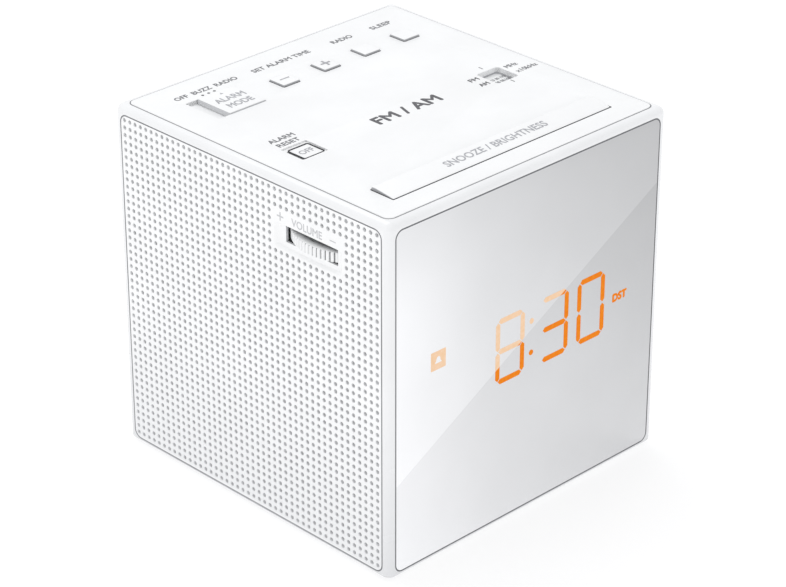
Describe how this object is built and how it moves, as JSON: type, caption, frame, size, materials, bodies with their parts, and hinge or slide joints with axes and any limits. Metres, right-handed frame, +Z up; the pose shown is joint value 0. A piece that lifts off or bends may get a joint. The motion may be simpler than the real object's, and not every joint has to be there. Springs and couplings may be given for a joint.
{
  "type": "clock radio",
  "caption": "Cube-shaped table clock radio with a mirror display window, perforated speaker side, top keys, snooze bar and two thumbwheels.",
  "frame": {"origin": "on the table surface, under the middle of the cabinet", "axes": "+Z up; the mirror display faces -Y, the speaker grille and volume wheel are on -X, the tuning wheel is on +X and the rear cover on +Y"},
  "size_m": [0.1046, 0.103, 0.1029],
  "materials": {
    "cabinet_white": "gloss moulded",
    "panel_white": "fine satin",
    "grille_white": "fine satin",
    "base_white": "spark-eroded texture",
    "key_white": "satin",
    "mirror_window": "half-silvered acrylic",
    "mask_dark": "matte black",
    "housing_white": "moulded",
    "segment_lit": "lit diffuser",
    "segment_dark": "unlit diffuser",
    "lens_clear": "clear acrylic",
    "rubber_grey": "matte",
    "gland_rubber": "matte",
    "screw_steel": "zinc plated",
    "shaft_brass": "turned",
    "board_green": "solder resist",
    "component_black": "moulded epoxy",
    "capacitor_blue": "shrink sleeve",
    "cone_paper": "pressed pulp",
    "magnet_grey": "sintered ferrite",
    "core_iron": "varnished laminations",
    "winding_tape": "polyester tape",
    "winding_copper": "enamelled wire",
    "cell_steel": "brushed"
  },
  "bodies": {
    "cabinet": {"cabinet_frame": "cabinet_white", "top_panel": "panel_white", "speaker_grille": "grille_white", "side_panel": "grille_white", "front_window": "mirror_window", "rear_cover": "grille_white", "bottom_cover": "base_white", "standoffs": "housing_white", "rubber_feet": "rubber_grey", "case_screws": "screw_steel", "cord_gland": "gland_rubber", "antenna_bush": "gland_rubber", "display_mask": "mask_dark", "segment_housing": "housing_white", "lit_segments": "segment_lit", "dark_segments": "segment_dark", "display_board": "board_green", "key_board": "board_green", "dome_switches": "component_black", "slide_switches": "component_black", "main_board": "board_green", "board_chips": "component_black", "capacitors": "capacitor_blue", "wire_headers": "housing_white", "inner_screws": "screw_steel", "speaker_gasket": "gland_rubber", "speaker_basket": "screw_steel", "speaker_cone": "cone_paper", "speaker_dust_cap": "cone_paper", "speaker_magnet": "magnet_grey", "transformer_core": "core_iron", "transformer_winding": "winding_tape", "ferrite_rod": "magnet_grey", "antenna_coil": "winding_copper", "rod_clips": "housing_white", "volume_pot": "screw_steel", "tuning_capacitor": "housing_white", "dial_lens": "lens_clear", "rear_board": "board_green", "battery_bay": "base_white", "battery_contacts": "shaft_brass"},
    "volume_control": {"volume_wheel": "key_white", "volume_shaft": "shaft_brass", "volume_screw": "screw_steel"},
    "tuning_control": {"tuning_wheel": "key_white", "tuning_shaft": "shaft_brass"},
    "alarm_mode": {"alarm_mode_knob": "key_white", "alarm_switch_slider": "housing_white"},
    "minus_button": {"minus_key": "key_white"},
    "plus_button": {"plus_key": "key_white"},
    "radio_button": {"radio_key": "key_white"},
    "sleep_button": {"sleep_key": "key_white"},
    "alarm_off_button": {"alarm_off_key": "key_white"},
    "snooze_button": {"snooze_bar": "key_white"},
    "clock_button": {"clock_key": "key_white"},
    "zone_button": {"zone_key": "key_white"},
    "band_selector": {"band_knob": "key_white"},
    "battery_drawer": {"battery_tray": "base_white", "coin_cell": "cell_steel", "tray_screw": "screw_steel"}
  },
  "joints": [
    {"name": "volume_turn", "type": "hinge", "parent": "cabinet", "child": "volume_control", "pos_m": [-0.03575, -0.0243, 0.08675], "axis": [0, 0, 1], "range_deg": [-135, 135]},
    {"name": "tuning_turn", "type": "hinge", "parent": "cabinet", "child": "tuning_control", "pos_m": [0.0346, -0.0195, 0.09575], "axis": [0, 0, 1], "range_deg": [-90, 90]},
    {"name": "alarm_mode_slide", "type": "slide", "parent": "cabinet", "child": "alarm_mode", "axis": [-1, 0, 0], "range_m": [0, 0.0038]},
    {"name": "minus_press", "type": "slide", "parent": "cabinet", "child": "minus_button", "axis": [0, 0, -1], "range_m": [0, 0.0006], "stiffness_N_per_m": 600},
    {"name": "plus_press", "type": "slide", "parent": "cabinet", "child": "plus_button", "axis": [0, 0, -1], "range_m": [0, 0.0006], "stiffness_N_per_m": 600},
    {"name": "radio_press", "type": "slide", "parent": "cabinet", "child": "radio_button", "axis": [0, 0, -1], "range_m": [0, 0.0006], "stiffness_N_per_m": 600},
    {"name": "sleep_press", "type": "slide", "parent": "cabinet", "child": "sleep_button", "axis": [0, 0, -1], "range_m": [0, 0.0006], "stiffness_N_per_m": 600},
    {"name": "alarm_off_press", "type": "slide", "parent": "cabinet", "child": "alarm_off_button", "axis": [0, 0, -1], "range_m": [0, 0.0006], "stiffness_N_per_m": 600},
    {"name": "snooze_press", "type": "slide", "parent": "cabinet", "child": "snooze_button", "axis": [0, 0, -1], "range_m": [0, 0.0007], "stiffness_N_per_m": 900},
    {"name": "clock_press", "type": "slide", "parent": "cabinet", "child": "clock_button", "axis": [0, -1, 0], "range_m": [0, 0.0007], "stiffness_N_per_m": 600},
    {"name": "zone_press", "type": "slide", "parent": "cabinet", "child": "zone_button", "axis": [0, -1, 0], "range_m": [0, 0.0007], "stiffness_N_per_m": 600},
    {"name": "band_slide", "type": "slide", "parent": "cabinet", "child": "band_selector", "axis": [1, 0, 0], "range_m": [0, 0.003]},
    {"name": "battery_drawer_slide", "type": "slide", "parent": "cabinet", "child": "battery_drawer", "axis": [0, 1, 0], "range_m": [0, 0.026]}
  ]
}
